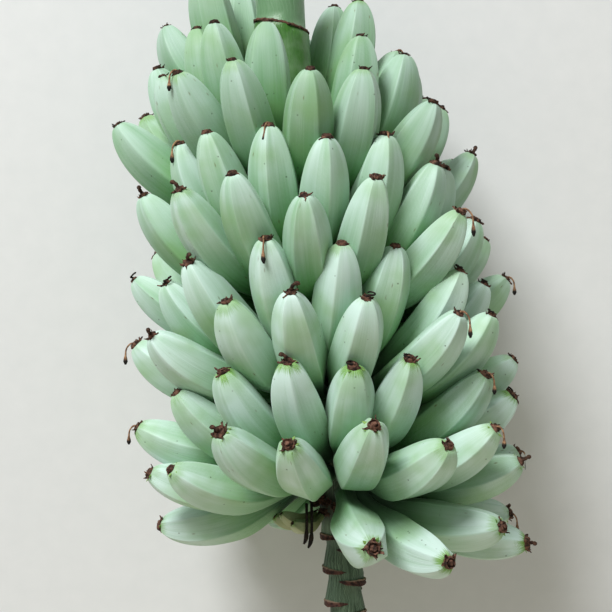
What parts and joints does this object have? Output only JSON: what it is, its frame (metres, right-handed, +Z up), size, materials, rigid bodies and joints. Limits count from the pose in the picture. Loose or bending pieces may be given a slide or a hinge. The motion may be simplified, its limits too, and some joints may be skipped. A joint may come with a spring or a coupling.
{
  "type": "cut banana bunch",
  "caption": "Bunch of waxy blue-green angular bananas in close tiers round a cut stalk, with bract scars on the stalk below the fruit, lying on its back.",
  "frame": {"origin": "middle of the bunch's underside, on the ground that it lies on", "axes": "+Y along the stalk towards its thick cut end, +Z up, out of the side of the bunch that faces up, +X to the right of a viewer who looks down with +Y ahead"},
  "size_m": [0.4368, 0.73, 0.3647],
  "materials": {
    "fruit_skin": "waxy pale blue-green bloom over green",
    "young_fruit_skin": "dull green",
    "stalk_skin": "smooth dark green stem with brown scars and pale cut ends"
  },
  "bodies": {
    "root": {"hand_1_fruit_1": "fruit_skin", "hand_1_fruit_2": "fruit_skin", "hand_1_fruit_3": "fruit_skin", "hand_1_fruit_4": "fruit_skin", "hand_1_fruit_5": "fruit_skin", "hand_2_fruit_1": "fruit_skin", "hand_2_fruit_2": "fruit_skin", "hand_2_fruit_3": "fruit_skin", "hand_2_fruit_4": "fruit_skin", "hand_2_fruit_5": "fruit_skin", "hand_2_fruit_6": "fruit_skin", "hand_3_fruit_1": "fruit_skin", "hand_3_fruit_2": "fruit_skin", "hand_3_fruit_3": "fruit_skin", "hand_3_fruit_4": "fruit_skin", "hand_3_fruit_5": "fruit_skin", "hand_3_fruit_6": "fruit_skin", "hand_3_fruit_7": "fruit_skin", "hand_4_fruit_1": "fruit_skin", "hand_4_fruit_2": "fruit_skin", "hand_4_fruit_3": "fruit_skin", "hand_4_fruit_4": "fruit_skin", "hand_4_fruit_5": "fruit_skin", "hand_4_fruit_6": "fruit_skin", "hand_4_fruit_7": "fruit_skin", "hand_5_fruit_1": "fruit_skin", "hand_5_fruit_2": "fruit_skin", "hand_5_fruit_3": "fruit_skin", "hand_5_fruit_4": "fruit_skin", "hand_5_fruit_5": "fruit_skin", "hand_5_fruit_6": "fruit_skin", "hand_5_fruit_7": "fruit_skin", "hand_6_fruit_1": "fruit_skin", "hand_6_fruit_2": "fruit_skin", "hand_6_fruit_3": "fruit_skin", "hand_6_fruit_4": "fruit_skin", "hand_6_fruit_5": "fruit_skin", "hand_6_fruit_6": "fruit_skin", "hand_6_fruit_7": "fruit_skin", "hand_7_fruit_1": "fruit_skin", "hand_7_fruit_2": "fruit_skin", "hand_7_fruit_3": "fruit_skin", "hand_7_fruit_4": "fruit_skin", "hand_7_fruit_5": "fruit_skin", "hand_7_fruit_6": "fruit_skin", "hand_7_fruit_7": "fruit_skin", "hand_8_fruit_1": "fruit_skin", "hand_8_fruit_2": "fruit_skin", "hand_8_fruit_3": "fruit_skin", "hand_8_fruit_4": "fruit_skin", "hand_8_fruit_5": "fruit_skin", "hand_8_fruit_6": "fruit_skin", "hand_8_fruit_7": "fruit_skin", "hand_9_fruit_1": "fruit_skin", "hand_9_fruit_2": "fruit_skin", "hand_9_fruit_3": "fruit_skin", "hand_9_fruit_4": "fruit_skin", "stalk": "stalk_skin", "undeveloped_hand": "young_fruit_skin"}
  },
  "joints": []
}
